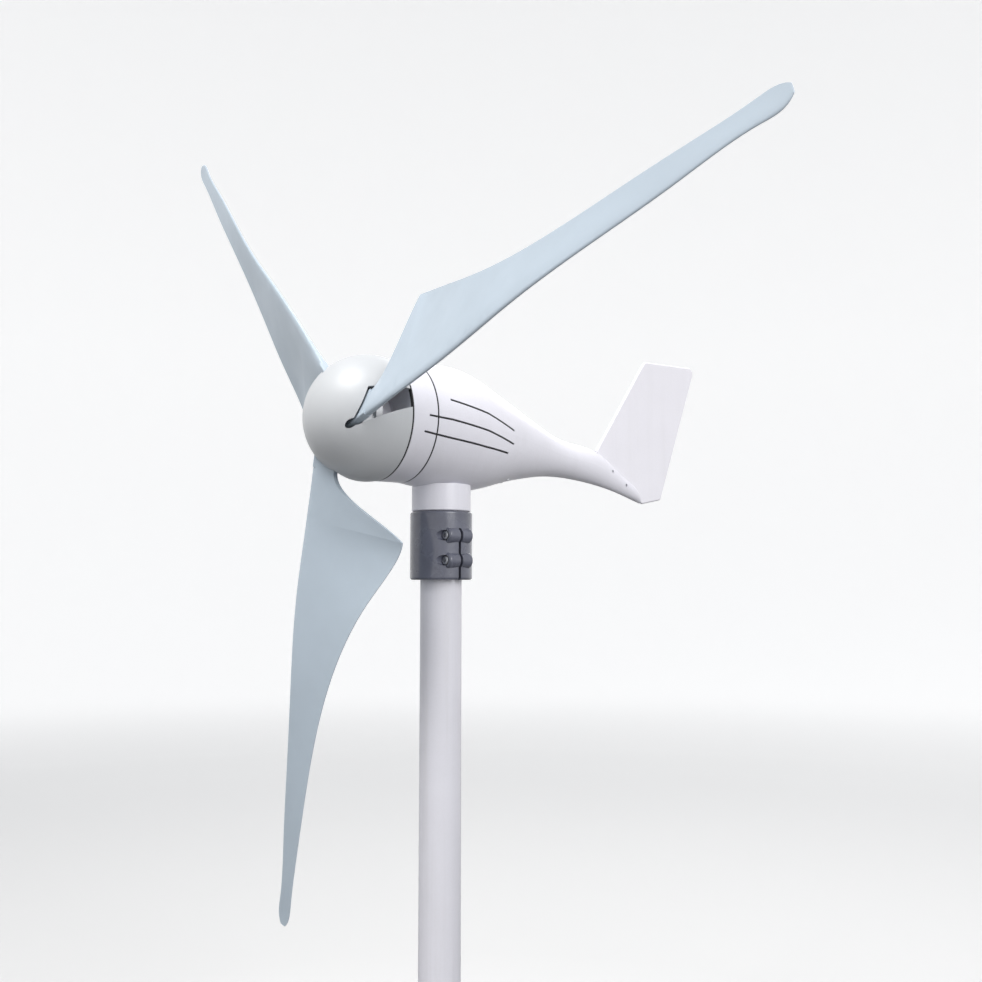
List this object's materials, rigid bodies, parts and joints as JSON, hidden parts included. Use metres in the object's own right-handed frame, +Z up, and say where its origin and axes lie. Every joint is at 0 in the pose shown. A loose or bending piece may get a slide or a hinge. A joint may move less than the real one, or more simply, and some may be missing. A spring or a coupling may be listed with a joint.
{
  "type": "wind turbine",
  "caption": "Small upwind wind turbine: bladed rotor on a streamlined nacelle with a fixed tail fin, free to yaw on a clamped tubular mast.",
  "frame": {"origin": "centre of the mast tube's open foot", "axes": "+Z up along the mast, -Y from the mast towards the nose, +Y towards the tail fin"},
  "size_m": [1.0119, 0.6266, 1.4215],
  "materials": {
    "mast_paint": "pale grey paint, satin",
    "collar_black": "dark slate paint, semi-gloss",
    "screw_steel": "zinc plated",
    "felt": "dark felt",
    "machined_steel": "turned",
    "bearing_steel": "ground and polished",
    "cage_plastic": "dark moulded nylon",
    "ring_brass": "turned",
    "body_white": "off-white paint, semi-gloss",
    "fin_white": "off-white, satin",
    "spinner_white": "white, glossy",
    "blade_grey": "pale blue-grey, satin",
    "seal_rubber": "black",
    "lamination_steel": "stacked sheets",
    "winding_copper": "enamelled copper wire",
    "magnet_nickel": "nickel plated",
    "carbon": "graphite",
    "lead_rubber": "insulated wire",
    "cast_aluminium": "cast and machined"
  },
  "bodies": {
    "mast": {"mast_tube": "mast_paint", "clamp_collar": "collar_black", "clamp_bolts": "screw_steel", "clamp_nuts": "screw_steel", "dust_seal": "felt", "yaw_spindle": "machined_steel", "spindle_screws": "screw_steel", "seat_sleeve": "machined_steel", "bearing_spacer": "machined_steel", "yaw_tab_washer": "screw_steel", "yaw_nut": "screw_steel", "slip_ring_sleeve": "cage_plastic", "slip_rings": "ring_brass", "yaw_bearing_inner_races": "bearing_steel"},
    "yaw_cage": {"yaw_bearing_balls": "bearing_steel", "yaw_bearing_cages": "cage_plastic"},
    "nacelle": {"nacelle_housing": "body_white", "front_cover": "body_white", "cover_gasket": "seal_rubber", "cover_screws": "screw_steel", "yaw_circlip": "screw_steel", "tail_boom": "body_white", "boom_screws": "screw_steel", "tail_fin": "fin_white", "fin_rivets": "screw_steel", "stator_core": "lamination_steel", "stator_windings": "winding_copper", "shaft_seal": "seal_rubber", "bearing_circlip": "screw_steel", "brush_holder": "cage_plastic", "brushes": "carbon", "brush_springs": "bearing_steel", "brush_holder_screws": "screw_steel", "phase_leads": "lead_rubber", "yaw_bearing_outer_races": "bearing_steel", "front_bearing_outer_race": "bearing_steel", "rear_bearing_outer_race": "bearing_steel"},
    "front_cage": {"front_bearing_balls": "bearing_steel", "front_bearing_cage": "cage_plastic"},
    "rear_cage": {"rear_bearing_balls": "bearing_steel", "rear_bearing_cage": "cage_plastic"},
    "rotor": {"rotor_shaft": "machined_steel", "hub_key": "machined_steel", "core_key": "machined_steel", "magnet_core": "lamination_steel", "magnets": "magnet_nickel", "hub_plate": "cast_aluminium", "hub_washer": "screw_steel", "hub_nut": "screw_steel", "blade_1": "blade_grey", "blade_2": "blade_grey", "blade_3": "blade_grey", "blade_clamp_plates": "machined_steel", "blade_bolts": "screw_steel", "spinner": "spinner_white", "spinner_screws": "screw_steel", "front_bearing_inner_race": "bearing_steel", "rear_bearing_inner_race": "bearing_steel"}
  },
  "joints": [
    {"name": "yaw", "type": "hinge", "parent": "mast", "child": "nacelle", "pos_m": [0, 0, 0.9], "axis": [0, 0, 1], "continuous": true},
    {"name": "yaw_cage_turn", "type": "hinge", "parent": "mast", "child": "yaw_cage", "pos_m": [0, 0, 0.9], "axis": [0, 0, 1], "continuous": true},
    {"name": "rotor_spin", "type": "hinge", "parent": "nacelle", "child": "rotor", "pos_m": [0, -0.1195, 1], "axis": [0, 1, 0], "continuous": true},
    {"name": "front_cage_turn", "type": "hinge", "parent": "nacelle", "child": "front_cage", "pos_m": [0, -0.098, 1], "axis": [0, 1, 0], "continuous": true},
    {"name": "rear_cage_turn", "type": "hinge", "parent": "nacelle", "child": "rear_cage", "pos_m": [0, -0.017, 1], "axis": [0, 1, 0], "continuous": true}
  ],
  "couplings": [
    {"joint": "yaw_cage_turn", "follows": "yaw", "ratio": 0.5886},
    {"joint": "front_cage_turn", "follows": "rotor_spin", "ratio": 0.383},
    {"joint": "rear_cage_turn", "follows": "rotor_spin", "ratio": 0.3996}
  ]
}
